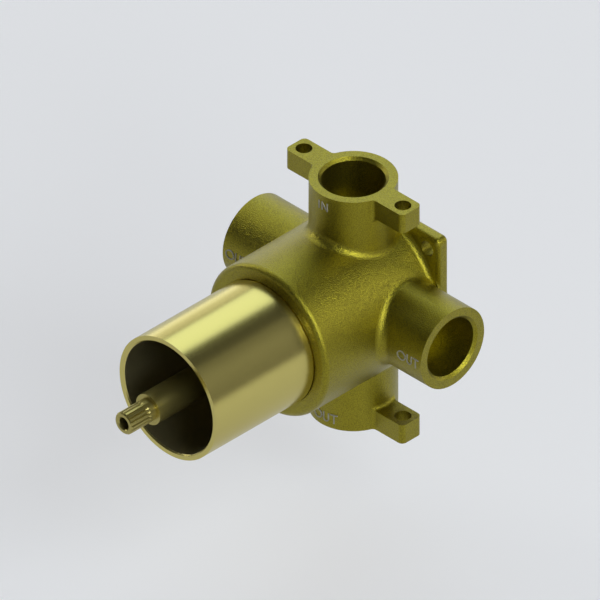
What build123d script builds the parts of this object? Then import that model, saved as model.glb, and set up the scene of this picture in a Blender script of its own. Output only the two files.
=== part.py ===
from build123d import *
import os

# Concealed three-way diverter valve, rough-in body with its ceramic disc cartridge.
# Millimetres. The origin is the centre of the wall face of the back plate.
# +Z is up (the inlet), +X is right, and the valve points forward along -Y.
# A "depth" in a name is measured forward from the wall face unless it says otherwise.

# Back plate
plate_width = 55.0
plate_thickness = 5.0
plate_corner_radius = 2.2
plate_edge_radius = 1.6
plate_hole_diameter = 5.5
plate_hole_spacing = 45.0

# Ports, all four in one plane
port_depth = 16.0
port_reach = 45.0
port_diameter = 28.9
thread_diameter = 20.96
thread_length = 15.0
thread_chamfer = 1.0
waterway_diameter = 11.0
waterway_end_gap = 7.5
inlet_drilling_diameter = 8.0
inlet_drilling_overrun = 4.0

# Fixing ears on the inlet and the lower outlet
ear_width = 9.0
ear_thickness = 7.2
ear_hole_diameter = 5.5
ear_hole_spacing = 45.0
ear_end_land = 4.2
ear_corner_radius = 1.8
ear_root_radius = 1.6

# Barrel that holds the cartridge
barrel_diameter = 54.0
barrel_front_depth = 55.6
barrel_edge_radius = 2.0
barrel_mouth_chamfer = 0.4
casting_root_radius = 3.0
plate_root_radius = 2.0
seat_depth_from_ports = 11.0
chamber_diameter = 35.0
ring_nut_thread_diameter = 36.5
socket_length = 9.0

# Sleeve
sleeve_diameter = 44.0
sleeve_length = 53.7
sleeve_wall = 2.0
sleeve_lip_length = 7.5
sleeve_relief = 0.4
sleeve_root_wall = 3.2
sleeve_root_length = 10.0
sleeve_mouth_chamfer = 0.45
sleeve_spigot_step = 0.4
sleeve_shoulder_gap = 0.3
sleeve_shoulder_chamfer = 0.3

# Water passages of the cartridge
passage_diameter = 5.0
passage_circle_diameter = 21.0

# Cartridge base
base_thickness = 4.5
base_key_height = 2.4
base_key_width = 2.8
base_key_in_disc = 1.1
base_key_in_housing = 1.2
locating_pin_diameter = 2.5
locating_pin_length = 5.0
locating_pin_circle_diameter = 25.0
locating_pin_in_body = 2.5

# Seals
seal_section = 1.4
base_seal_inner_diameter = 6.6
disc_gasket_thickness = 1.2
disc_gasket_ring_width = 1.7
disc_gasket_web_width = 1.8
housing_seal_section = 1.4
sleeve_seal_section = 1.6
spindle_seal_section = 1.2
groove_side_gap = 0.3

# Ceramic discs
fixed_disc_diameter = 29.6
fixed_disc_thickness = 3.5
moving_disc_diameter = 28.4
moving_disc_thickness = 3.5
disc_channel_depth = 2.2
disc_rim_chamfer = 0.4
disc_face_gap = 0.02

# Disc carrier
carrier_thickness = 2.7
carrier_diameter = 26.4
carrier_lug_width = 3.0
carrier_lug_length = 4.0
carrier_lug_height = 1.3
carrier_lug_spacing = 18.0
stop_tab_half_angle = 30.0
stop_tab_height = 1.4
stop_rib_gap = 0.4
turn_each_way = 90.0
stop_angle_gap = 1.0

# Cartridge housing
housing_shoulder_height = 7.0
housing_neck_diameter = 32.0
housing_cavity_diameter = 30.0
housing_front_wall = 6.5
housing_tube_diameter = 17.0
housing_tube_length = 12.0
housing_edge_chamfer = 0.8
housing_seal_height = 4.2

# Ring nut
ring_nut_height = 8.0
ring_nut_slot_width = 4.0
ring_nut_slot_depth = 2.5

# Spindle
spindle_diameter = 11.0
spindle_shoulder_depth = 109.3
spindle_flange_diameter = 26.0
spindle_flange_thickness = 2.2
thrust_washer_thickness = 0.6
thrust_washer_diameter = 16.0
tang_length = 2.0
tang_width = 4.0
tang_span = 8.0
spline_diameter = 7.9
spline_teeth = 18
spline_groove_depth = 0.45
spline_neck_length = 2.4
spline_length = 8.9
spline_tip_chamfer = 0.45
spline_runout = 1.2
tip_thread_diameter = 4.2
tip_thread_length = 14.0
tip_countersink_diameter = 4.9

# Detent
detent_ball_diameter = 3.0
detent_circle_diameter = 20.0
detent_spring_length = 4.0
detent_spring_wire = 0.5
detent_spring_coils = 4
detent_hole_gap = 0.1
detent_track_gap = 0.15
detent_pocket_gap = 0.35
detent_bite = 1.0

# Fits
running_fit = 0.08
sliding_fit = 0.1
thread_fit = 0.05
loose_fit = 0.2
seal_fit = 0.02
axial_play = 0.05

# Radii and stations worked out from the sizes above
port_radius = port_diameter / 2
barrel_radius = barrel_diameter / 2
chamber_radius = chamber_diameter / 2
seat_depth = port_depth + seat_depth_from_ports
socket_floor_depth = barrel_front_depth - socket_length
sleeve_mouth_depth = socket_floor_depth + sleeve_length
base_front_depth = seat_depth + base_thickness
fixed_disc_front_depth = base_front_depth + fixed_disc_thickness
moving_disc_rear_depth = fixed_disc_front_depth + disc_face_gap
moving_disc_front_depth = moving_disc_rear_depth + moving_disc_thickness
carrier_front_depth = moving_disc_front_depth + carrier_thickness
flange_front_depth = carrier_front_depth + spindle_flange_thickness
washer_front_depth = flange_front_depth + thrust_washer_thickness
cavity_front_depth = washer_front_depth + axial_play
housing_shoulder_depth = base_front_depth + housing_shoulder_height
housing_neck_depth = cavity_front_depth + housing_front_wall
housing_tube_depth = housing_neck_depth + housing_tube_length
ring_nut_front_depth = housing_shoulder_depth + ring_nut_height
spline_start_depth = spindle_shoulder_depth + spline_neck_length
spindle_tip_depth = spline_start_depth + spline_length
ear_reach = ear_hole_spacing / 2 + ear_end_land
passage_radius = passage_diameter / 2
passage_circle_radius = passage_circle_diameter / 2
housing_radius = chamber_radius - sliding_fit
cavity_radius = housing_cavity_diameter / 2
fixed_disc_radius = fixed_disc_diameter / 2
ball_radius = detent_ball_diameter / 2
ball_centre_depth = flange_front_depth - detent_bite + ball_radius
detent_circle_radius = detent_circle_diameter / 2

# The wall face, the ports plane, and the frame of each port mouth looking outwards
wall = Plane.XZ
ports_plane = wall.offset(port_depth)
right_port = Plane(origin=(port_reach, -port_depth, 0), x_dir=(0, 1, 0), z_dir=(1, 0, 0))
left_port = Plane(origin=(-port_reach, -port_depth, 0), x_dir=(0, -1, 0), z_dir=(-1, 0, 0))
inlet_port = Plane(origin=(0, -port_depth, port_reach), x_dir=(1, 0, 0), z_dir=(0, 0, 1))
lower_port = Plane(origin=(0, -port_depth, -port_reach), x_dir=(1, 0, 0), z_dir=(0, 0, -1))

# The three outlet passages lie right, below and left of the inlet passage in the middle
outlet_points = [(passage_circle_radius, 0), (0, -passage_circle_radius), (-passage_circle_radius, 0)]
passage_points = [(0, 0)] + outlet_points
locating_pin_point = (0, locating_pin_circle_diameter / 2)


# Back plate of the casting, with rounded edges and a concave root up to the barrel
with BuildPart() as back_plate:
    with BuildSketch(wall):
        RectangleRounded(plate_width, plate_width, plate_corner_radius)
    extrude(amount=plate_thickness)
    plate_rims = back_plate.faces().filter_by(Axis.Y)
    fillet(plate_rims.edges(), radius=plate_edge_radius)

with BuildPart() as plate_root:
    with BuildSketch(Plane.XY):
        with BuildLine():
            Polyline(
                (barrel_radius, -plate_thickness - plate_root_radius),
                (0, -plate_thickness - plate_root_radius),
                (0, -plate_thickness / 2),
                (barrel_radius + plate_root_radius, -plate_thickness / 2),
                (barrel_radius + plate_root_radius, -plate_thickness),
            )
            CenterArc(
                center=(barrel_radius + plate_root_radius, -plate_thickness - plate_root_radius),
                radius=plate_root_radius,
                start_angle=90,
                arc_size=90,
            )
        make_face()
    revolve(axis=Axis.Y)
    with BuildSketch(wall):
        RectangleRounded(plate_width, plate_width, plate_corner_radius)
    extrude(amount=barrel_front_depth, mode=Mode.INTERSECT)

# Valve body: barrel, four ports, ears and plate in one casting, then machined
with BuildPart() as valve_body:
    with BuildSketch(wall.offset(-port_radius)):
        Circle(barrel_radius)
    extrude(amount=barrel_front_depth + port_radius)
    with BuildSketch(Plane.XY):
        with Locations((0, -port_depth)):
            Circle(port_radius)
    extrude(amount=port_reach, both=True)
    with BuildSketch(Plane.YZ):
        with Locations((-port_depth, 0)):
            Circle(port_radius)
    extrude(amount=port_reach, both=True)
    port_roots = valve_body.edges().filter_by(lambda e: e.geom_type not in (GeomType.LINE, GeomType.CIRCLE))
    fillet(port_roots, radius=casting_root_radius)
    split(bisect_by=wall, keep=Keep.TOP)
    barrel_rim = valve_body.faces().sort_by(Axis.Y)[0].edges()
    fillet(barrel_rim, radius=barrel_edge_radius)
    add(plate_root.part)
    add(back_plate.part)

    # Ears, flush with the port mouths
    with BuildSketch(inlet_port, lower_port):
        RectangleRounded(2 * ear_reach, ear_width, ear_corner_radius)
    extrude(amount=-ear_thickness)
    ear_root_x = (port_radius**2 - (ear_width / 2) ** 2) ** 0.5
    ear_under_z = port_reach - ear_thickness
    ear_sides = valve_body.edges().filter_by(Axis.Z).filter_by(
        lambda e: abs(abs(e.center().X) - ear_root_x) < 0.01
    )
    ear_arcs = valve_body.edges().filter_by(GeomType.CIRCLE).filter_by(
        lambda e: abs(abs(e.center().Z) - ear_under_z) < 0.01 and abs(e.radius - port_radius) < 0.01
    ).filter_by(
        lambda e: abs(e.center().X) > ear_root_x
    )
    fillet(ear_sides + ear_arcs, radius=ear_root_radius)

    # Threaded mouths and the waterways behind them
    with Locations(right_port, left_port, inlet_port, lower_port):
        CounterBoreHole(
            radius=waterway_diameter / 2,
            counter_bore_radius=thread_diameter / 2,
            counter_bore_depth=thread_length,
            depth=port_reach - waterway_end_gap,
        )
    ports_centre = Vector(0, -port_depth, 0)
    mouth_circles = valve_body.edges().filter_by(GeomType.CIRCLE).filter_by(
        lambda e: abs(e.radius - thread_diameter / 2) < 0.001
        and (e.arc_center - ports_centre).length > port_reach - 0.01
    )
    chamfer(mouth_circles, length=thread_chamfer)

    # Inlet drilling on to the middle, and the four passages down from the cartridge seat
    with Locations(inlet_port):
        Hole(radius=inlet_drilling_diameter / 2, depth=port_reach + inlet_drilling_overrun)
    with Locations(wall.offset(seat_depth)):
        with Locations(*passage_points):
            Hole(radius=passage_radius, depth=seat_depth_from_ports)
        with Locations(locating_pin_point):
            Hole(radius=locating_pin_diameter / 2, depth=locating_pin_in_body)

    # Cartridge chamber, ring nut thread and sleeve socket, turned from the front
    spigot_radius = sleeve_diameter / 2 - sleeve_spigot_step
    socket_radius = spigot_radius + sliding_fit
    with BuildSketch(Plane.XY):
        with BuildLine():
            Polyline(
                (0, -seat_depth),
                (chamber_radius, -seat_depth),
                (chamber_radius, -housing_shoulder_depth),
                (ring_nut_thread_diameter / 2, -housing_shoulder_depth),
                (ring_nut_thread_diameter / 2, -socket_floor_depth),
                (socket_radius, -socket_floor_depth),
                (socket_radius, -barrel_front_depth + barrel_mouth_chamfer),
                (socket_radius + barrel_mouth_chamfer, -barrel_front_depth),
                (0, -barrel_front_depth),
                close=True,
            )
        make_face()
    revolve(axis=Axis.Y, mode=Mode.SUBTRACT)

    # Screw holes through the plate and the ears
    with Locations(wall.offset(plate_thickness)):
        with GridLocations(plate_hole_spacing, plate_hole_spacing, 2, 2):
            Hole(radius=plate_hole_diameter / 2, depth=plate_thickness)
    with Locations(inlet_port, lower_port):
        with GridLocations(ear_hole_spacing, 0, 2, 1):
            Hole(radius=ear_hole_diameter / 2, depth=ear_thickness)
valve_body.part.label = "valve_body"



# Sleeve: a turned tube whose spigot, with its seal groove, stands in the barrel
sleeve_radius = sleeve_diameter / 2
lip_radius = sleeve_radius - sleeve_wall
sleeve_shoulder_depth = barrel_front_depth + sleeve_shoulder_gap
sleeve_seal_depth = barrel_front_depth - socket_length / 2
sleeve_groove_half = (sleeve_seal_section + groove_side_gap) / 2
sleeve_groove_radius = socket_radius - sleeve_seal_section
with BuildPart() as sleeve:
    with BuildSketch(Plane.XY):
        with BuildLine():
            Polyline(
                (spigot_radius, -socket_floor_depth),
                (spigot_radius, -sleeve_seal_depth + sleeve_groove_half),
                (sleeve_groove_radius, -sleeve_seal_depth + sleeve_groove_half),
                (sleeve_groove_radius, -sleeve_seal_depth - sleeve_groove_half),
                (spigot_radius, -sleeve_seal_depth - sleeve_groove_half),
                (spigot_radius, -sleeve_shoulder_depth),
                (sleeve_radius - sleeve_shoulder_chamfer, -sleeve_shoulder_depth),
                (sleeve_radius, -sleeve_shoulder_depth - sleeve_shoulder_chamfer),
                (sleeve_radius, -sleeve_mouth_depth),
                (lip_radius + sleeve_mouth_chamfer, -sleeve_mouth_depth),
                (lip_radius, -sleeve_mouth_depth + sleeve_mouth_chamfer),
                (lip_radius, -sleeve_mouth_depth + sleeve_lip_length),
                (lip_radius + sleeve_relief, -sleeve_mouth_depth + sleeve_lip_length),
                (lip_radius + sleeve_relief, -socket_floor_depth - sleeve_root_length),
                (sleeve_radius - sleeve_root_wall, -socket_floor_depth - sleeve_root_length),
                (sleeve_radius - sleeve_root_wall, -socket_floor_depth),
                close=True,
            )
        make_face()
    revolve(axis=Axis.Y)
sleeve.part.label = "sleeve"

with BuildPart() as sleeve_seal:
    with BuildSketch(Plane.XY):
        with Locations((sleeve_groove_radius + sleeve_seal_section / 2, -sleeve_seal_depth)):
            Circle(sleeve_seal_section / 2 - seal_fit)
    revolve(axis=Axis.Y)
sleeve_seal.part.label = "sleeve_seal"

# Locating pin, pressed into the seat to turn the cartridge to its ports
with BuildPart() as locating_pin:
    with BuildSketch(wall.offset(seat_depth - locating_pin_in_body)):
        with Locations(locating_pin_point):
            Circle(locating_pin_diameter / 2)
    extrude(amount=locating_pin_length)
    chamfer(locating_pin.faces().sort_by(Axis.Y)[0].edges(), length=locating_pin_diameter / 8)
locating_pin.part.label = "locating_pin"

# Cartridge base: seal grooves on the seat side, gasket recess on the disc side
base_seal_radius = (base_seal_inner_diameter + seal_section) / 2
base_groove_half = (seal_section + groove_side_gap) / 2
gasket_ring_radius = passage_radius + loose_fit + disc_gasket_ring_width
key_inner_radius = fixed_disc_radius - base_key_in_disc
key_outer_radius = cavity_radius + base_key_in_housing
key_angles = (45, 135)
with BuildPart() as cartridge_base:
    with BuildSketch(wall.offset(seat_depth)):
        Circle(housing_radius)
        with Locations(*passage_points):
            Circle(passage_radius, mode=Mode.SUBTRACT)
    extrude(amount=base_thickness)
    with BuildSketch(wall.offset(seat_depth)):
        with Locations(*passage_points):
            Circle(base_seal_radius + base_groove_half)
            Circle(base_seal_radius - base_groove_half, mode=Mode.SUBTRACT)
    extrude(amount=seal_section, mode=Mode.SUBTRACT)
    with BuildSketch(wall.offset(seat_depth)):
        with Locations(locating_pin_point):
            Circle(locating_pin_diameter / 2 + sliding_fit)
    extrude(amount=locating_pin_length - locating_pin_in_body + loose_fit, mode=Mode.SUBTRACT)
    with BuildSketch(wall.offset(base_front_depth)):
        with Locations(*passage_points):
            Circle(gasket_ring_radius + sliding_fit)
        for point in outlet_points:
            with BuildLine():
                Line((0, 0), point)
            trace(line_width=disc_gasket_web_width + 2 * sliding_fit)
    extrude(amount=-disc_gasket_thickness, mode=Mode.SUBTRACT)
    with BuildSketch(wall.offset(base_front_depth)):
        for angle in key_angles:
            with Locations(Rotation(0, 0, angle) * Pos((key_inner_radius + key_outer_radius) / 2, 0)):
                Rectangle(key_outer_radius - key_inner_radius, base_key_width)
    extrude(amount=base_key_height)
cartridge_base.part.label = "cartridge_base"

# One ring seal round each of the four passages, between the base and its seat
base_seals = []
for passage_name, passage_point in zip(("inlet", "right", "lower", "left"), passage_points):
    ring_axis_start = (passage_point[0], -seat_depth, passage_point[1])
    with BuildPart() as base_seal:
        with BuildSketch(Plane.XY.offset(passage_point[1])):
            with Locations((passage_point[0] + base_seal_radius, -seat_depth - seal_section / 2)):
                Circle(seal_section / 2 - seal_fit)
        revolve(axis=Axis(ring_axis_start, (0, -1, 0)))
    base_seal.part.label = "base_seal_" + passage_name
    base_seals.append(base_seal.part)

# Moulded gasket with four rings joined by webs, between the base and the fixed disc
with BuildPart() as disc_gasket:
    with BuildSketch(wall.offset(base_front_depth)):
        with Locations(*passage_points):
            Circle(gasket_ring_radius)
        for point in outlet_points:
            with BuildLine():
                Line((0, 0), point)
            trace(line_width=disc_gasket_web_width)
        with Locations(*passage_points):
            Circle(gasket_ring_radius - disc_gasket_ring_width, mode=Mode.SUBTRACT)
    extrude(amount=-disc_gasket_thickness)
disc_gasket.part.label = "disc_gasket"

# Fixed ceramic disc, held from turning by the two keys of the base
with BuildPart() as fixed_disc:
    with BuildSketch(wall.offset(base_front_depth)):
        Circle(fixed_disc_radius)
        with Locations(*passage_points):
            Circle(passage_radius, mode=Mode.SUBTRACT)
        for angle in key_angles:
            with Locations(Rotation(0, 0, angle) * Pos(key_inner_radius - loose_fit, 0)):
                Rectangle(
                    2 * fixed_disc_radius,
                    base_key_width + 2 * loose_fit,
                    align=(Align.MIN, Align.CENTER),
                    mode=Mode.SUBTRACT,
                )
    extrude(amount=fixed_disc_thickness)
fixed_disc.part.label = "fixed_disc"

# Moving ceramic disc: a blind channel joins the middle to one outlet
lug_points = [(-carrier_lug_spacing / 2, 0), (carrier_lug_spacing / 2, 0)]
with BuildPart() as moving_disc:
    with BuildSketch(wall.offset(moving_disc_rear_depth)):
        Circle(moving_disc_diameter / 2)
    extrude(amount=moving_disc_thickness)
    with BuildSketch(wall.offset(moving_disc_rear_depth)):
        with Locations((0, -passage_circle_radius / 2)):
            SlotCenterToCenter(passage_circle_radius, passage_diameter, rotation=90)
    extrude(amount=disc_channel_depth, mode=Mode.SUBTRACT)
    with BuildSketch(wall.offset(moving_disc_front_depth)):
        with Locations(*lug_points):
            Rectangle(carrier_lug_length + 2 * sliding_fit, carrier_lug_width + 2 * sliding_fit)
    extrude(amount=-carrier_lug_height - sliding_fit, mode=Mode.SUBTRACT)
    chamfer(moving_disc.faces().sort_by(Axis.Y)[0].outer_wire().edges(), length=disc_rim_chamfer)
moving_disc.part.label = "moving_disc"

# Disc carrier: lugs drive the disc, a slot takes the spindle, a tab meets the stops
carrier_radius = carrier_diameter / 2
tab_radius = carrier_radius + stop_tab_height
with BuildPart() as disc_carrier:
    with BuildSketch(wall.offset(moving_disc_front_depth)):
        Circle(carrier_radius)
        with BuildLine():
            tab_inner = CenterArc((0, 0), carrier_radius / 2, -90 - stop_tab_half_angle, 2 * stop_tab_half_angle)
            tab_outer = CenterArc((0, 0), tab_radius, -90 - stop_tab_half_angle, 2 * stop_tab_half_angle)
            Line(tab_inner @ 0, tab_outer @ 0)
            Line(tab_inner @ 1, tab_outer @ 1)
        make_face()
        Rectangle(tang_span + 2 * sliding_fit, tang_width + 2 * sliding_fit, mode=Mode.SUBTRACT)
    extrude(amount=carrier_thickness)
    with BuildSketch(wall.offset(moving_disc_front_depth)):
        with Locations(*lug_points):
            Rectangle(carrier_lug_length, carrier_lug_width)
    extrude(amount=-carrier_lug_height)
disc_carrier.part.label = "disc_carrier"

# Cartridge housing: shoulder under the ring nut, neck, and a long tube round the spindle
neck_radius = housing_neck_diameter / 2
tube_radius = housing_tube_diameter / 2
housing_bore_radius = spindle_diameter / 2 + running_fit
housing_seal_depth = base_front_depth + housing_seal_height
housing_groove_half = (housing_seal_section + groove_side_gap) / 2
housing_groove_radius = chamber_radius - housing_seal_section
spring_rear_depth = ball_centre_depth + ball_radius
spring_front_depth = spring_rear_depth + detent_spring_length
detent_point = (0, detent_circle_radius)
rib_half_angle = 180 - turn_each_way - stop_tab_half_angle - stop_angle_gap
with BuildPart() as cartridge_housing:
    with BuildSketch(Plane.XY):
        with BuildLine():
            Polyline(
                (cavity_radius, -base_front_depth),
                (housing_radius, -base_front_depth),
                (housing_radius, -housing_seal_depth + housing_groove_half),
                (housing_groove_radius, -housing_seal_depth + housing_groove_half),
                (housing_groove_radius, -housing_seal_depth - housing_groove_half),
                (housing_radius, -housing_seal_depth - housing_groove_half),
                (housing_radius, -housing_shoulder_depth),
                (neck_radius, -housing_shoulder_depth),
                (neck_radius, -housing_neck_depth + housing_edge_chamfer),
                (neck_radius - housing_edge_chamfer, -housing_neck_depth),
                (tube_radius, -housing_neck_depth),
                (tube_radius, -housing_tube_depth + housing_edge_chamfer),
                (tube_radius - housing_edge_chamfer, -housing_tube_depth),
                (housing_bore_radius, -housing_tube_depth),
                (housing_bore_radius, -cavity_front_depth),
                (cavity_radius, -cavity_front_depth),
                close=True,
            )
        make_face()
    revolve(axis=Axis.Y)
    with BuildSketch(wall.offset(moving_disc_front_depth + loose_fit)):
        with BuildLine():
            rib_radius = carrier_radius + stop_rib_gap
            rib_inner = CenterArc((0, 0), rib_radius, 90 - rib_half_angle, 2 * rib_half_angle)
            rib_outer = CenterArc((0, 0), cavity_radius + loose_fit, 90 - rib_half_angle, 2 * rib_half_angle)
            Line(rib_inner @ 0, rib_outer @ 0)
            Line(rib_inner @ 1, rib_outer @ 1)
        make_face()
    extrude(amount=carrier_thickness - 2 * loose_fit)
    with BuildSketch(wall.offset(base_front_depth)):
        for angle in key_angles:
            with Locations(Rotation(0, 0, angle)):
                Rectangle(
                    key_outer_radius + loose_fit,
                    base_key_width + 2 * loose_fit,
                    align=(Align.MIN, Align.CENTER),
                )
    extrude(amount=base_key_height + loose_fit, mode=Mode.SUBTRACT)
    with BuildSketch(wall.offset(cavity_front_depth)):
        with Locations(detent_point):
            Circle(ball_radius + detent_hole_gap)
    extrude(amount=spring_front_depth - cavity_front_depth, mode=Mode.SUBTRACT)
cartridge_housing.part.label = "cartridge_housing"

with BuildPart() as housing_seal:
    with BuildSketch(Plane.XY):
        with Locations((housing_groove_radius + housing_seal_section / 2, -housing_seal_depth)):
            Circle(housing_seal_section / 2 - seal_fit)
    revolve(axis=Axis.Y)
housing_seal.part.label = "housing_seal"

# Ring nut with four spanner slots, screwed into the barrel over the housing shoulder
ring_nut_radius = ring_nut_thread_diameter / 2 - thread_fit
with BuildPart() as ring_nut:
    with BuildSketch(wall.offset(housing_shoulder_depth)):
        Circle(ring_nut_radius)
        Circle(neck_radius + sliding_fit, mode=Mode.SUBTRACT)
    extrude(amount=ring_nut_height)
    nut_rims = ring_nut.faces().filter_by(Axis.Y)
    chamfer(nut_rims.sort_by(Axis.Y)[0].outer_wire().edges(), length=thread_chamfer / 2)
    with BuildSketch(wall.offset(ring_nut_front_depth)):
        Rectangle(3 * ring_nut_radius, ring_nut_slot_width)
        Rectangle(ring_nut_slot_width, 3 * ring_nut_radius)
    extrude(amount=-ring_nut_slot_depth, mode=Mode.SUBTRACT)
ring_nut.part.label = "ring_nut"

# Spindle: tang, detent flange, sealed shaft, neck and splined end with a tapped hole
spindle_radius = spindle_diameter / 2
spline_radius = spline_diameter / 2
spindle_seal_depths = (
    housing_neck_depth + housing_tube_length * 0.3,
    housing_neck_depth + housing_tube_length * 0.7,
)
with BuildPart() as spline_cutter:
    with BuildSketch(wall.offset(spline_start_depth)):
        with BuildLine():
            half_pitch = 180 / spline_teeth
            groove_floor = (0, spline_radius - spline_groove_depth)
            groove_top = spline_radius + spline_groove_depth
            groove_half_width = groove_top * 3.1416 * half_pitch / 180
            Polyline(
                groove_floor,
                (groove_half_width, groove_top),
                (-groove_half_width, groove_top),
                close=True,
            )
        make_face()
    extrude(amount=spline_length)
    runout_plane = Plane(
        origin=(0, -spline_start_depth, spline_radius),
        x_dir=(1, 0, 0),
        z_dir=(0, -spline_groove_depth, spline_runout),
    )
    split(bisect_by=runout_plane, keep=Keep.TOP)

with BuildPart() as spindle:
    with BuildSketch(wall.offset(carrier_front_depth)):
        Circle(spindle_flange_diameter / 2)
    extrude(amount=spindle_flange_thickness)
    with BuildSketch(wall.offset(carrier_front_depth)):
        Rectangle(tang_span, tang_width)
    extrude(amount=-tang_length)
    with BuildSketch(wall.offset(flange_front_depth)):
        Circle(spindle_radius)
    extrude(amount=spindle_shoulder_depth - flange_front_depth)
    with BuildSketch(wall.offset(spindle_shoulder_depth)):
        Circle(spline_radius)
    extrude(amount=spindle_tip_depth - spindle_shoulder_depth)
    chamfer(spindle.faces().sort_by(Axis.Y)[0].edges(), length=spline_tip_chamfer)
    for tooth in range(spline_teeth):
        add(spline_cutter.part.rotate(Axis.Y, tooth * 360 / spline_teeth), mode=Mode.SUBTRACT)
    with Locations(wall.offset(spindle_tip_depth)):
        CounterSinkHole(
            radius=tip_thread_diameter / 2,
            counter_sink_radius=tip_countersink_diameter / 2,
            depth=tip_thread_length,
        )
    with BuildSketch(Plane.XY):
        for groove_depth in spindle_seal_depths:
            with Locations((spindle_radius, -groove_depth)):
                Rectangle(2 * spindle_seal_section, spindle_seal_section + groove_side_gap)
    revolve(axis=Axis.Y, mode=Mode.SUBTRACT)
    with BuildSketch(Plane.XY):
        with Locations((detent_circle_radius, -ball_centre_depth)):
            Circle(ball_radius + detent_track_gap)
    revolve(axis=Axis.Y, mode=Mode.SUBTRACT)
    pocket_plane = wall.offset(ball_centre_depth)
    with Locations(pocket_plane):
        with PolarLocations(detent_circle_radius, 3, start_angle=0, angular_range=2 * turn_each_way):
            Sphere(ball_radius + detent_pocket_gap, mode=Mode.SUBTRACT)
spindle.part.label = "spindle"

spindle_seals = []
for seal_place, seal_depth in zip(("rear", "front"), spindle_seal_depths):
    with BuildPart() as spindle_seal:
        with BuildSketch(Plane.XY):
            with Locations((spindle_radius - spindle_seal_section / 2, -seal_depth)):
                Circle(spindle_seal_section / 2 - seal_fit)
        revolve(axis=Axis.Y)
    spindle_seal.part.label = "spindle_seal_" + seal_place
    spindle_seals.append(spindle_seal.part)

with BuildPart() as thrust_washer:
    with BuildSketch(wall.offset(flange_front_depth)):
        Circle(thrust_washer_diameter / 2)
        Circle(spindle_radius + sliding_fit, mode=Mode.SUBTRACT)
    extrude(amount=thrust_washer_thickness)
thrust_washer.part.label = "thrust_washer"

# Detent ball and its spring, in a blind hole of the housing
with BuildPart() as detent_ball:
    with Locations((0, -ball_centre_depth, detent_circle_radius)):
        Sphere(ball_radius)
detent_ball.part.label = "detent_ball"

wire_radius = detent_spring_wire / 2
spring_turn_height = detent_spring_length - 2 * wire_radius - 2 * seal_fit
spring_mean_radius = ball_radius - wire_radius
with BuildPart() as detent_spring:
    with BuildLine():
        coil = Helix(
            pitch=spring_turn_height / detent_spring_coils,
            height=spring_turn_height,
            radius=spring_mean_radius,
            center=(0, -spring_rear_depth - wire_radius - seal_fit, detent_circle_radius),
            direction=(0, -1, 0),
        )
    with BuildSketch(Plane(origin=coil @ 0, z_dir=coil % 0)):
        Circle(wire_radius)
    sweep(is_frenet=True)
detent_spring.part.label = "detent_spring"

pieces = [
    valve_body.part,
    sleeve.part,
    sleeve_seal.part,
    ring_nut.part,
    cartridge_housing.part,
    housing_seal.part,
    cartridge_base.part,
    locating_pin.part,
    *base_seals,
    disc_gasket.part,
    fixed_disc.part,
    moving_disc.part,
    disc_carrier.part,
    spindle.part,
    *spindle_seals,
    thrust_washer.part,
    detent_ball.part,
    detent_spring.part,
]
os.makedirs("parts", exist_ok=True)
for piece in pieces:
    export_step(piece, "parts/" + piece.label + ".step")
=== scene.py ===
# %% [markdown]
# # A concealed diverter valve
#
# This is the part of a shower that stays inside the wall: a sand-cast brass body with four ports,
# a turned brass sleeve, and a splined spindle that turns the ceramic discs. The shapes of all its
# parts come ready made from the frame, so this lesson is about finishes, raised letters, light
# and camera. Every measure is in metres, because that is Blender's own unit.

import math

import bpy
from mathutils import Matrix, Vector


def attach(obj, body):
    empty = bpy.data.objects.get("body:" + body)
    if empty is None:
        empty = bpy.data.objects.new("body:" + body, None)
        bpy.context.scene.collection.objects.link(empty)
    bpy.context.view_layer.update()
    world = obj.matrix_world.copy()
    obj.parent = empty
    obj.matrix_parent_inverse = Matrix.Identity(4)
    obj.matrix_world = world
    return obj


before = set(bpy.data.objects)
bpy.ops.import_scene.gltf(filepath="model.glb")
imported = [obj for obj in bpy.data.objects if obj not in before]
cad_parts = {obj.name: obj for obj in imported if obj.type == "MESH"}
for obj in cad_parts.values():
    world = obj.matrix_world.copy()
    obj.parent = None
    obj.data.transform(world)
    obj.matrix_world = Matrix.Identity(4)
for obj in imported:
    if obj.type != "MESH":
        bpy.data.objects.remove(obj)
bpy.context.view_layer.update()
MM = 0.001
print("nodes:", sorted(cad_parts))

# %% [markdown]
# ## Colours
#
# A colour picked from a picture is in sRGB, the curve that screens use, while shaders count light
# in straight numbers. One function does the conversion, so every colour below can be written as
# the usual hex value.


# %% Colour from a hex value
def colour(hex_value):
    channels = [int(hex_value[i:i + 2], 16) / 255 for i in (1, 3, 5)]
    linear = [c / 12.92 if c <= 0.04045 else ((c + 0.055) / 1.055) ** 2.4 for c in channels]
    return (*linear, 1.0)


print("mid grey in straight numbers:", colour("#808080"))

# %% [markdown]
# ## Two helpers for materials
#
# A material is a small graph. `new_material` makes one with its Principled shader and its plain
# values, which also stand in where a program can't read the pattern. `add_node` adds any other
# node: it sets it, joins its inputs to the sockets that feed them, and joins its outputs into the
# sockets that they feed. A Mix node has a set of sockets for each kind of value, all with the
# same names, so they are told by their place in the list.

# %% Helpers for materials
MIX_FACTOR = 0
FLOAT_A, FLOAT_B, FLOAT_RESULT = 2, 3, 0
COLOUR_A, COLOUR_B, COLOUR_RESULT = 6, 7, 2


def new_material(name, base, metallic, roughness):
    material = bpy.data.materials.new(name)
    material.use_nodes = True
    shader = material.node_tree.nodes["Principled BSDF"]
    shader.inputs["Base Color"].default_value = colour(base)
    shader.inputs["Metallic"].default_value = metallic
    shader.inputs["Roughness"].default_value = roughness
    print("material:", name)
    return material, shader


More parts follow.
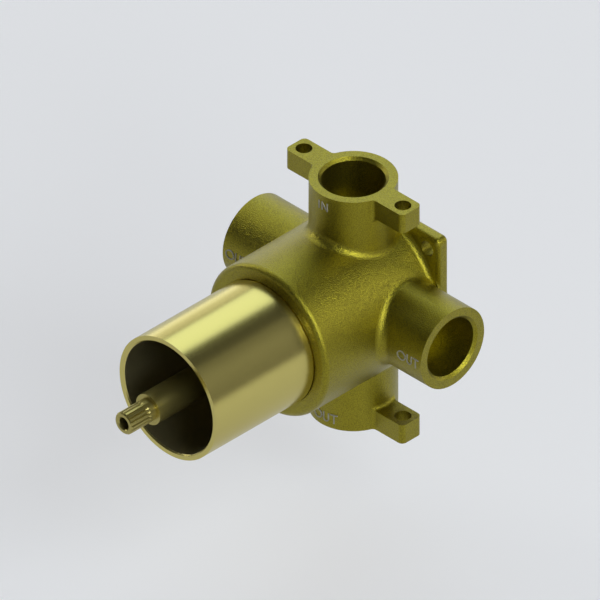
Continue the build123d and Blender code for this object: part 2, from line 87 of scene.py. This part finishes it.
def add_node(material, kind, settings=None, values=None, links=None, into=None):
    node = material.node_tree.nodes.new(kind)
    for name, value in (settings or {}).items():
        setattr(node, name, value)
    for socket, value in (values or {}).items():
        node.inputs[socket].default_value = value
    for socket, source in (links or {}).items():
        material.node_tree.links.new(source, node.inputs[socket])
    for socket, target in (into or {}).items():
        material.node_tree.links.new(node.outputs[socket], target)
    return node


print("colour sockets of a Mix node:", COLOUR_A, COLOUR_B, "into", COLOUR_RESULT)

# %% [markdown]
# ## Sand-cast brass
#
# The body is poured into a sand mould, tumbled and left bare: a yellow brass that has gone
# slightly olive, and as a bare metal it is fully metallic. A thin coat stands for the film of oil
# and oxide that whitens the casting where it is seen aslant. The film bends light little, so it
# stays faint where the casting is seen straight on.

# %% Bare brass and its film
cast_brass, cast_shader = new_material("sand_cast_brass", "#A09526", 1.0, 0.36)
cast_shader.inputs["Coat Weight"].default_value = 0.6
cast_shader.inputs["Coat IOR"].default_value = 1.3
cast_shader.inputs["Coat Roughness"].default_value = 0.45

# %% [markdown]
# The casting keeps the print of the sand: fine pits and lumps. The print could be sculpted or
# displaced, but it is far smaller than any shape, so it is noise. The real grains stand about
# 0.4 mm apart; they are drawn 0.66 mm apart, because closer ones would not show. Handling and
# air darken the brass in patches of several millimetres, which a second and slower noise gives.

# %% Sand grain and patches
GRAIN_MM = 0.66
PATCH_MM = 7.0
CELLS_PER_GRAIN = 2  # a lump and the pit beside it take two cells of noise
GRAIN_SCALE = CELLS_PER_GRAIN / (GRAIN_MM * MM)
cast_place = add_node(cast_brass, "ShaderNodeTexCoord")
grain = add_node(
    cast_brass, "ShaderNodeTexNoise",
    values={"Scale": GRAIN_SCALE, "Detail": 0.0},
    links={"Vector": cast_place.outputs["Object"]},
)
patches = add_node(
    cast_brass, "ShaderNodeTexNoise",
    values={"Scale": 1 / (PATCH_MM * MM), "Detail": 4.0, "Roughness": 0.55},
    links={"Vector": cast_place.outputs["Object"]},
)
print("grain", GRAIN_MM, "mm, patches", PATCH_MM, "mm")

# %% [markdown]
# The patches blend two brasses, and the grain then darkens the pits with painted shade and
# brightens the lumps with a painted highlight, so that the colour carries some of the grain's
# sparkle.

# %% Colour of the casting, with painted shade and highlight in its grain
PIT_NOISE, LUMP_NOISE = 0.35, 0.6
PIT_PAINTED_SHADE, LUMP_PAINTED_HIGHLIGHT = 0.74, 1.12
patch_colour = add_node(
    cast_brass, "ShaderNodeMix", settings={"data_type": "RGBA"},
    values={COLOUR_A: colour("#9B9022"), COLOUR_B: colour("#A59A2A")},
    links={MIX_FACTOR: patches.outputs["Fac"]},
)
# Painted shade in the pits and a painted highlight on the lumps, following the same grain as the
# bump
grain_painted_shade = add_node(
    cast_brass, "ShaderNodeMapRange",
    values={"From Min": PIT_NOISE, "From Max": LUMP_NOISE,
            "To Min": PIT_PAINTED_SHADE, "To Max": LUMP_PAINTED_HIGHLIGHT},
    links={"Value": grain.outputs["Fac"]},
)
add_node(
    cast_brass, "ShaderNodeVectorMath", settings={"operation": "SCALE"},
    links={0: patch_colour.outputs[COLOUR_RESULT], "Scale": grain_painted_shade.outputs["Result"]},
    into={"Vector": cast_shader.inputs["Base Color"]},
)
print("shade of pits and lumps:", PIT_PAINTED_SHADE, LUMP_PAINTED_HIGHLIGHT)

# %% [markdown]
# The same grain makes the surface a little rougher on the lumps, which the tumbling scuffs, and
# tilts the light with a bump of about a tenth of a millimetre. The tilt gives the casting its
# sparkle.

# %% Roughness and bump of the casting
NOISE_LOW, NOISE_HIGH = 0.3, 0.7  # nearly all of a noise lies between these
PIT_ROUGHNESS, LUMP_ROUGHNESS = 0.3, 0.41
GRAIN_HEIGHT = 0.12 * MM
add_node(
    cast_brass, "ShaderNodeMapRange",
    values={"From Min": NOISE_LOW, "From Max": NOISE_HIGH,
            "To Min": PIT_ROUGHNESS, "To Max": LUMP_ROUGHNESS},
    links={"Value": grain.outputs["Fac"]},
    into={"Result": cast_shader.inputs["Roughness"]},
)
add_node(
    cast_brass, "ShaderNodeBump",
    values={"Strength": 1.0, "Distance": GRAIN_HEIGHT},
    links={"Height": grain.outputs["Fac"]},
    into={"Normal": cast_shader.inputs["Normal"]},
)
print("nodes in the casting's graph:", len(cast_brass.node_tree.nodes))

# %% [markdown]
# ## Turned brass
#
# The sleeve, the ring nut and the cartridge housing are turned on a lathe and wiped to a satin.
# A lathe leaves rings round its axis, here the Y axis. They could be cut into the mesh, but they
# are finer than any face, so the noise is squeezed along Y and stretched across: that makes rings
# about 0.25 mm apart and very shallow, and the brass still mirrors the studio softly.

# %% Turned brass
RING_CELL_MM = 0.5  # a cell of this noise holds about two rings
ACROSS_CELL_MM = 50.0
RING_HEIGHT = 0.002 * MM
POLISHED_SHIFT, DULLED_SHIFT = 0.2, 0.3  # how far the rings shift the roughness down and up


def turned_brass(name, base, roughness, ring_strength):
    material, shader = new_material(name, base, 1.0, roughness)
    place = add_node(material, "ShaderNodeTexCoord")
    across = 1 / (ACROSS_CELL_MM * MM)
    lathe_space = add_node(
        material, "ShaderNodeMapping",
        values={"Scale": (across, 1 / (RING_CELL_MM * MM), across)},
        links={"Vector": place.outputs["Object"]},
    )
    rings = add_node(
        material, "ShaderNodeTexNoise",
        values={"Scale": 1.0, "Detail": 2.0, "Roughness": 0.5},
        links={"Vector": lathe_space.outputs["Vector"]},
    )
    add_node(
        material, "ShaderNodeMapRange",
        values={"From Min": NOISE_LOW, "From Max": NOISE_HIGH,
                "To Min": roughness - POLISHED_SHIFT * ring_strength,
                "To Max": roughness + DULLED_SHIFT * ring_strength},
        links={"Value": rings.outputs["Fac"]},
        into={"Result": shader.inputs["Roughness"]},
    )
    add_node(
        material, "ShaderNodeBump",
        values={"Strength": ring_strength, "Distance": RING_HEIGHT},
        links={"Height": rings.outputs["Fac"]},
        into={"Normal": shader.inputs["Normal"]},
    )
    return material, shader


# %% [markdown]
# The ring nut and the housing keep a plain cut, browner and with clear rings. The spindle is
# burnished after turning, so it has no rings to show: its satin and the thin dull film on it are
# the same all over, and its numbers are set straight on the shader. The sleeve is cut finest.

# %% The turned pieces
SLEEVE_COLOUR = "#DCCE7A"
inner_brass, _ = turned_brass("turned_brass_inner", "#9A8C4C", 0.35, 0.1)
spindle_brass, _ = new_material("turned_brass_spindle", "#BDB067", 0.9, 0.29)
sleeve_brass, sleeve_shader = turned_brass("turned_brass_satin", SLEEVE_COLOUR, 0.24, 0.015)

# %% [markdown]
# The bore of the sleeve is not turned: it keeps the skin of the drawn tube, duller and greyer
# than the outside. The bore could be given a slot of its own, but its faces come from the frame,
# so it is told by its distance from the axis. The faced mouth and its small chamfer are turned
# again, and they are all that lies in front of `MOUTH_Y`. The mask is 1 on turned brass.

# %% Where the sleeve is turned
BORE_RADIUS = 21.0 * MM
MOUTH_Y = -99.9 * MM
sleeve_place = add_node(sleeve_brass, "ShaderNodeTexCoord")
along = add_node(
    sleeve_brass, "ShaderNodeSeparateXYZ", links={"Vector": sleeve_place.outputs["Object"]},
)
across = add_node(
    sleeve_brass, "ShaderNodeCombineXYZ",
    links={"X": along.outputs["X"], "Y": along.outputs["Z"]},
)
radius = add_node(
    sleeve_brass, "ShaderNodeVectorMath", settings={"operation": "LENGTH"},
    links={0: across.outputs["Vector"]},
)
beyond_bore = add_node(
    sleeve_brass, "ShaderNodeMath", settings={"operation": "GREATER_THAN"},
    values={1: BORE_RADIUS}, links={0: radius.outputs["Value"]},
)
mouth = add_node(
    sleeve_brass, "ShaderNodeMath", settings={"operation": "LESS_THAN"},
    values={1: MOUTH_Y}, links={0: along.outputs["Y"]},
)
turned = add_node(
    sleeve_brass, "ShaderNodeMath", settings={"operation": "MAXIMUM"},
    links={0: beyond_bore.outputs["Value"], 1: mouth.outputs["Value"]},
)
print("bore up to", BORE_RADIUS, "m, mouth in front of", MOUTH_Y, "m")

# %% [markdown]
# Three Mix nodes change the finish at the mask: roughness, metal and colour. The roughness of the
# rings is already joined to the shader, so its socket is taken from there before the Mix node
# takes its place.

# %% The drawn skin in the bore
SKIN_COLOUR, SKIN_METALLIC, SKIN_ROUGHNESS = "#B5AC80", 0.82, 0.3
ring_roughness = sleeve_shader.inputs["Roughness"].links[0].from_socket
add_node(
    sleeve_brass, "ShaderNodeMix", settings={"data_type": "FLOAT"},
    values={FLOAT_A: SKIN_ROUGHNESS},
    links={MIX_FACTOR: turned.outputs["Value"], FLOAT_B: ring_roughness},
    into={FLOAT_RESULT: sleeve_shader.inputs["Roughness"]},
)
add_node(
    sleeve_brass, "ShaderNodeMix", settings={"data_type": "FLOAT"},
    values={FLOAT_A: SKIN_METALLIC, FLOAT_B: 1.0},
    links={MIX_FACTOR: turned.outputs["Value"]},
    into={FLOAT_RESULT: sleeve_shader.inputs["Metallic"]},
)
add_node(
    sleeve_brass, "ShaderNodeMix", settings={"data_type": "RGBA"},
    values={COLOUR_A: colour(SKIN_COLOUR), COLOUR_B: colour(SLEEVE_COLOUR)},
    links={MIX_FACTOR: turned.outputs["Value"]},
    into={COLOUR_RESULT: sleeve_shader.inputs["Base Color"]},
)
print("nodes in the sleeve's graph:", len(sleeve_brass.node_tree.nodes))

# %% [markdown]
# ## Materials inside the cartridge
#
# Nobody sees these once the valve is closed, but a cut or opened model shows them. Alumina discs
# are lapped, which leaves them white, dense and nearly mirror smooth. Acetal is moulded, a milky
# plastic with a soft sheen. Nitrile rubber is moulded too, black and dull with a faint bloom.
# Ground stainless steel has fine bright scratches. Each is one noise that shifts between two
# near colours and lifts the surface by a few thousandths of a millimetre.

# %% Ceramic, acetal, rubber and steel
CLOUD_BUMP = 0.2


def plain_finish(name, base, base_two, metallic, roughness, patch_mm, bump_mm):
    material, shader = new_material(name, base, metallic, roughness)
    place = add_node(material, "ShaderNodeTexCoord")
    clouds = add_node(
        material, "ShaderNodeTexNoise",
        values={"Scale": 1 / (patch_mm * MM), "Detail": 3.0},
        links={"Vector": place.outputs["Object"]},
    )
    add_node(
        material, "ShaderNodeMix", settings={"data_type": "RGBA"},
        values={COLOUR_A: colour(base), COLOUR_B: colour(base_two)},
        links={MIX_FACTOR: clouds.outputs["Fac"]},
        into={COLOUR_RESULT: shader.inputs["Base Color"]},
    )
    add_node(
        material, "ShaderNodeBump",
        values={"Strength": CLOUD_BUMP, "Distance": bump_mm * MM},
        links={"Height": clouds.outputs["Fac"]},
        into={"Normal": shader.inputs["Normal"]},
    )
    return material


# name, two colours, metallic, roughness, size of a patch and height of the bump in mm
alumina = plain_finish("lapped_alumina", "#EEECE6", "#E6E3DA", 0.0, 0.12, 3.0, 0.002)
acetal = plain_finish("moulded_acetal", "#E6E3DA", "#DDD9CE", 0.0, 0.38, 4.0, 0.01)
rubber = plain_finish("nitrile_rubber", "#141414", "#1E1E1D", 0.0, 0.62, 0.6, 0.01)
steel = plain_finish("ground_steel", "#B9BBBC", "#A6A8AA", 1.0, 0.25, 0.4, 0.004)

# %% [markdown]
# ## Dress the frame's nodes
#
# The nodes keep their meshes and their shading; only their material slots change. Every node that
# the table doesn't name is a ring seal or a gasket, and all of those are rubber.

# %% Give each node its finish
FINISHES = {
    "valve_body": cast_brass,
    "sleeve": sleeve_brass,
    "spindle": spindle_brass,
    "ring_nut": inner_brass,
    "cartridge_housing": inner_brass,
    "fixed_disc": alumina,
    "moving_disc": alumina,
    "cartridge_base": acetal,
    "disc_carrier": acetal,
    "thrust_washer": acetal,
    "locating_pin": steel,
    "detent_ball": steel,
    "detent_spring": steel,
}
for name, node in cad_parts.items():
    node.data.materials.clear()
    node.data.materials.append(FINISHES.get(name, rubber))
print("finishes given:", len(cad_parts))

# %% [markdown]
# ## Raised letters on the ports
#
# The pattern maker cuts plain letters into the mould, so they stand up from the casting: IN on
# the inlet and OUT on each outlet. They could be a text object, but cast letters are simpler than
# a typeface. Each one is drawn flat from bars and rings, as a sign maker would cut it, then
# projected on to the round port with a Shrinkwrap modifier and given its height with Solidify.
# The bars are strips of small faces, so that they can bend round the port.

# %% Flat bars and rings
BAR_FACES_ALONG, BAR_FACES_ACROSS = 14, 2
RING_CORNERS = 48


def flat_bar(start, end, stroke):
    bpy.ops.object.select_all(action="DESELECT")
    run = Vector(end) - Vector(start)
    bpy.ops.mesh.primitive_grid_add(
        x_subdivisions=BAR_FACES_ALONG, y_subdivisions=BAR_FACES_ACROSS, size=1)
    bar = bpy.context.object
    bar.scale = (run.length + stroke, stroke, 1)
    bar.rotation_euler = (0, 0, math.atan2(run.y, run.x))
    bar.location = ((start[0] + end[0]) / 2, (start[1] + end[1]) / 2, 0)
    bpy.ops.object.transform_apply(location=True, rotation=True, scale=True)
    return bar


def flat_ring(centre, width, height, stroke, lower_half=False):
    # A circle of edges, extruded and drawn inwards in edit mode by the width of the stroke
    bpy.ops.object.select_all(action="DESELECT")
    bpy.ops.mesh.primitive_circle_add(vertices=RING_CORNERS, radius=0.5, fill_type="NOTHING")
    ring = bpy.context.object
    ring.scale = (width, height, 1)
    bpy.ops.object.transform_apply(location=False, rotation=False, scale=True)
    bpy.ops.object.mode_set(mode="EDIT")
    bpy.ops.mesh.select_all(action="SELECT")
    bpy.ops.mesh.extrude_edges_move()
    bpy.ops.transform.resize(value=(1 - 2 * stroke / width, 1 - 2 * stroke / height, 1))
    if lower_half:
        bpy.ops.mesh.select_all(action="SELECT")
        bpy.ops.mesh.bisect(plane_co=(0, 0, 0), plane_no=(0, 1, 0), clear_outer=True)
    bpy.ops.object.mode_set(mode="OBJECT")
    ring.location = (centre[0], centre[1], 0)
    bpy.ops.object.transform_apply(location=True, rotation=False, scale=False)
    return ring


print("faces in a bar:", BAR_FACES_ALONG * BAR_FACES_ACROSS)

# %% [markdown]
# The alphabet is small: I, N, O, U and T. Each letter is a list of its bars and rings inside a
# box that is `w` wide and `h` high, with its lower left corner at `x` on the line y = 0.


# %% The five letters
def letter(kind, x, w, h, stroke):
    half = stroke / 2
    if kind == "I":
        return [flat_bar((x + w / 2, half), (x + w / 2, h - half), stroke)]
    if kind == "N":
        return [
            flat_bar((x + half, half), (x + half, h - half), stroke),
            flat_bar((x + w - half, half), (x + w - half, h - half), stroke),
            flat_bar((x + half, h - half), (x + w - half, half), stroke),
        ]
    if kind == "O":
        return [flat_ring((x + w / 2, h / 2), w, h, stroke)]
    if kind == "U":
        return [
            flat_bar((x + half, w / 2), (x + half, h - half), stroke),
            flat_bar((x + w - half, w / 2), (x + w - half, h - half), stroke),
            flat_ring((x + w / 2, w / 2), w, w, stroke, lower_half=True),
        ]
    return [  # what is left is the T
        flat_bar((x + half, h - half), (x + w - half, h - half), stroke),
        flat_bar((x + w / 2, half), (x + w / 2, h - half), stroke),
    ]


# Letter, left edge, width and height in mm
IN = [("I", 0.0, 0.45, 3.1), ("N", 1.4, 2.5, 3.1)]
OUT = [("O", 0.0, 3.9, 3.5), ("U", 4.4, 2.3, 3.5), ("T", 7.2, 2.4, 3.5)]
print("letters in the two words:", len(IN), len(OUT))

# %% [markdown]
# The faces of cast letters stand proud, so they are rubbed in the tumbler and hold a pale dust.
# To the eye they are a dull light grey with hardly any metal in it, on the same sand grain as the
# casting, only shallower.

# %% Rubbed letter faces
letter_brass, letter_shader = new_material("letter_faces_rubbed", "#BEBAA8", 0.1, 0.5)
letter_place = add_node(letter_brass, "ShaderNodeTexCoord")
letter_grain = add_node(
    letter_brass, "ShaderNodeTexNoise",
    values={"Scale": GRAIN_SCALE, "Detail": 1.0},
    links={"Vector": letter_place.outputs["Object"]},
)
add_node(
    letter_brass, "ShaderNodeBump",
    values={"Strength": 0.3, "Distance": 0.04 * MM},
    links={"Height": letter_grain.outputs["Fac"]},
    into={"Normal": letter_shader.inputs["Normal"]},
)

# %% [markdown]
# A word is its letters joined, stood upright facing the front, and moved 2 mm in front of its
# port. Shrinkwrap then projects every corner straight back on to the casting, so the letters
# follow the port's curve. Solidify thickens them both ways, so half of the thickness stands out
# by the height of real cast letters, a quarter of a millimetre, and half sinks in and leaves no
# gap. The four ports lie in one plane, 16 mm in front of the wall.

# %% Wrap a word on a port
PORTS_Y = -16.0 * MM
PORT_RADIUS = 14.45 * MM
WORD_CLEARANCE = 2.0 * MM
LETTER_HEIGHT = 0.25 * MM
STROKE = 0.4 * MM


def raised_word(name, letters, x, z):
    strokes = []
    for kind, left, w, h in letters:
        strokes += letter(kind, left * MM, w * MM, h * MM, STROKE)
    bpy.ops.object.select_all(action="DESELECT")
    for piece in strokes:
        piece.select_set(True)
    bpy.context.view_layer.objects.active = strokes[0]
    bpy.ops.object.join()
    word = bpy.context.object
    word.name = name
    word.rotation_euler = (math.pi / 2, 0, 0)
    word.location = (x * MM, PORTS_Y - PORT_RADIUS - WORD_CLEARANCE, z * MM)
    bpy.ops.object.transform_apply(location=True, rotation=True, scale=True)
    wrap = word.modifiers.new("wrap", "SHRINKWRAP")
    wrap.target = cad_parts["valve_body"]
    wrap.wrap_method = "PROJECT"
    wrap.use_project_y = True
    wrap.use_positive_direction = True
    wrap.use_negative_direction = False
    bpy.ops.object.modifier_apply(modifier=wrap.name)
    rise = word.modifiers.new("rise", "SOLIDIFY")
    rise.thickness = 2 * LETTER_HEIGHT
    rise.offset = 0.0
    bpy.ops.object.modifier_apply(modifier=rise.name)
    word.data.materials.clear()
    word.data.materials.append(letter_brass)
    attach(word, "valve")
    print(name, "triangles:", sum(len(p.vertices) - 2 for p in word.data.polygons))


# %% [markdown]
# The words are read from the front while the valve is fitted, so all four face that way. Each is
# placed by the lower left corner of its first letter: so many millimetres to the right of the
# middle of the valve, and so many above it.

# %% The four words
raised_word("word_inlet", IN, -1.3, 39.6)
raised_word("word_right", OUT, 34.3, -1.75)
raised_word("word_left", OUT, -43.6, -1.0)
raised_word("word_lower", OUT, -3.6, -43.0)

# %% [markdown]
# ## Floor
#
# The valve is shown over a plain pale floor. It is a single large sheet. The lamps are set for
# the brass and leave the floor grey, so the floor adds a little light of its own for the camera
# and for
# mirrored rays only: it looks pale, the brass mirrors it as pale, the shadow stays, and no more
# light falls on the valve. Its paint is matt, so it shows no gloss.

# %% Floor
PORT_REACH = 45.0 * MM
FLOOR_DROP = 30.0 * MM
FLOOR_SIZE = 12
bpy.ops.object.select_all(action="DESELECT")
bpy.ops.mesh.primitive_plane_add(size=FLOOR_SIZE, location=(0, 0, -PORT_REACH - FLOOR_DROP))
floor = bpy.context.object
floor.name = "floor"
floor_paint, floor_shader = new_material("pale_floor", "#B8B8BA", 0.0, 0.9)
floor.data.materials.append(floor_paint)
print("floor", FLOOR_DROP, "m under the lower port")

# %% [markdown]
# Light Path tells which kind of ray asks. A camera ray gets the strong glow, and a mirrored ray
# or one that has passed through something clear gets the weak one.

# %% The floor's own glow
SEEN_GLOW, MIRRORED_GLOW = 0.48, 0.26
rays = add_node(floor_paint, "ShaderNodeLightPath")
mirrored = add_node(
    floor_paint, "ShaderNodeMath", settings={"operation": "MAXIMUM"},
    links={0: rays.outputs["Is Glossy Ray"], 1: rays.outputs["Is Transmission Ray"]},
)
weak_glow = add_node(
    floor_paint, "ShaderNodeMath", settings={"operation": "MULTIPLY"},
    values={1: MIRRORED_GLOW}, links={0: mirrored.outputs["Value"]},
)
add_node(
    floor_paint, "ShaderNodeMath", settings={"operation": "MULTIPLY_ADD"},
    values={1: SEEN_GLOW},
    links={0: rays.outputs["Is Camera Ray"], 2: weak_glow.outputs["Value"]},
    into={"Value": floor_shader.inputs["Emission Strength"]},
)
floor_shader.inputs["Emission Color"].default_value = colour("#F4F4F6")
print("glow seen and mirrored:", SEEN_GLOW, MIRRORED_GLOW)

# %% [markdown]
# ## Light
#
# A soft box in a studio is a lamp behind a lit panel, and satin brass shows the panel that it
# mirrors. So each box is given as the metal sees it: by its direction from the valve, its
# distance, its size and how bright it looks. An area lamp takes watts, and a panel that looks as
# bright as `brightness` needs that number times pi times its area.


# %% Soft box
def soft_box(name, azimuth, elevation, distance, width, height, brightness, tint):
    light = bpy.data.lights.new(name, "AREA")
    light.shape = "RECTANGLE"
    light.size = width
    light.size_y = height
    light.energy = brightness * math.pi * width * height
    light.color = colour(tint)[:3]
    panel = bpy.data.objects.new(name, light)
    turn, rise = math.radians(azimuth), math.radians(elevation)
    level = math.cos(rise)
    back = Vector((level * math.cos(turn), level * math.sin(turn), math.sin(rise)))
    side = Vector((0, 1, 0)).cross(back).normalized()
    panel_axes = Matrix((side, back.cross(side), back)).transposed().to_4x4()
    panel.matrix_world = Matrix.Translation(back * distance) @ panel_axes
    bpy.context.scene.collection.objects.link(panel)
    panel.visible_camera = False
    print(name, "watts:", round(light.energy, 2))


# %% [markdown]
# A cool key box behind and above makes the long highlight on the sleeve, and the gap between it
# and the dim right wall makes the dark band. High boxes at the left and right light the grain of
# the casting, low ones brighten its sides, and two small glints pick out the fillets.

# %% The studio's boxes
COOL, COOLER, WHITE = "#F3FAFF", "#E9F7FF", "#FFFFFF"
# name, degrees round from +X, degrees up, distance, width, height, brightness, tint
SOFT_BOXES = [
    ("key_box", 126, 44.4, 1.3, 0.9, 0.9, 1.35, COOLER),
    ("right_high", 0, 43, 1.4, 0.8, 0.7, 2.9, COOL),
    ("right_spot", -8, 43.5, 1.2, 0.5, 0.5, 1.2, COOL),
    ("left_high", 180, 43, 1.4, 0.8, 0.7, 1.35, COOL),
    ("left_strip", 144.7, 3.3, 1.4, 0.36, 1.1, 0.52, COOL),
    ("right_low", 0, 13, 1.4, 0.7, 0.6, 0.77, WHITE),
    ("right_wall", 40.1, 26.4, 1.4, 1.4, 0.9, 0.09, WHITE),
    ("back_right_low", 60, 13, 1.4, 0.7, 0.6, 1.9, WHITE),
    ("back_low", 120, 13, 1.4, 0.7, 0.6, 0.65, WHITE),
    ("back_left_low", 150, 13, 1.4, 0.7, 0.6, 0.74, WHITE),
    ("left_low", 180, 13, 1.4, 0.7, 0.6, 0.54, WHITE),
    ("front_low", -90, 13, 1.4, 0.7, 0.6, 0.3, WHITE),
    ("right_glint", -26, 26, 1.2, 0.3, 0.3, 9.0, COOL),
    ("left_glint", 195, 17, 1.2, 0.25, 0.25, 5.0, WHITE),
]
for box in SOFT_BOXES:
    soft_box(*box)
print("soft boxes:", len(SOFT_BOXES))

# %% [markdown]
# The walls of a studio send back a little light from everywhere. A faint even white stands for
# them, so that no side of the valve goes black.

# %% The room's own light
ROOM_STRENGTH = 0.05
world = bpy.data.worlds.new("studio")
bpy.context.scene.world = world
world.use_nodes = True
room = world.node_tree.nodes["Background"]
room.inputs["Color"].default_value = colour(WHITE)
room.inputs["Strength"].default_value = ROOM_STRENGTH
print("room light:", ROOM_STRENGTH)

# %% [markdown]
# ## Camera
#
# The picture is an isometric view: the camera stands at 45 degrees round and 35.26 degrees up,
# without perspective, so the three axes look equally short. One millimetre is 3.111 pixels of a
# frame of 600 pixels. The point where the ports' axes meet falls a little off the middle of the
# frame, at the column and row below, so the camera aims beside it by as much. Without
# perspective, the camera's distance only has to clear the valve.

# %% Camera
PIXELS = 600
PIXELS_PER_MM = 3.111
CENTRE_COLUMN, CENTRE_ROW = 353.4, 291.1
CAMERA_DISTANCE = 1.0
VIEW_DEPTH = 20
to_camera = Vector((1, -1, 1)).normalized()
right = Vector((1, 1, 0)).normalized()
up = to_camera.cross(right)
camera_data = bpy.data.cameras.new("camera")
camera_data.type = "ORTHO"
camera_data.ortho_scale = PIXELS / PIXELS_PER_MM * MM
camera_data.clip_end = VIEW_DEPTH
camera = bpy.data.objects.new("camera", camera_data)
bpy.context.scene.collection.objects.link(camera)
aim = Vector((0, PORTS_Y, 0))
aim += right * (PIXELS / 2 - CENTRE_COLUMN) / PIXELS_PER_MM * MM
aim -= up * (PIXELS / 2 - CENTRE_ROW) / PIXELS_PER_MM * MM
camera_axes = Matrix((right, up, to_camera)).transposed().to_4x4()
camera.matrix_world = Matrix.Translation(aim + to_camera * CAMERA_DISTANCE) @ camera_axes
bpy.context.scene.camera = camera
print("frame width:", round(camera_data.ortho_scale, 4), "m")

# %% [markdown]
# ## Plain view
#
# The Standard view shows colours as they are written.

# %% Plain view
bpy.context.scene.view_settings.view_transform = "Standard"
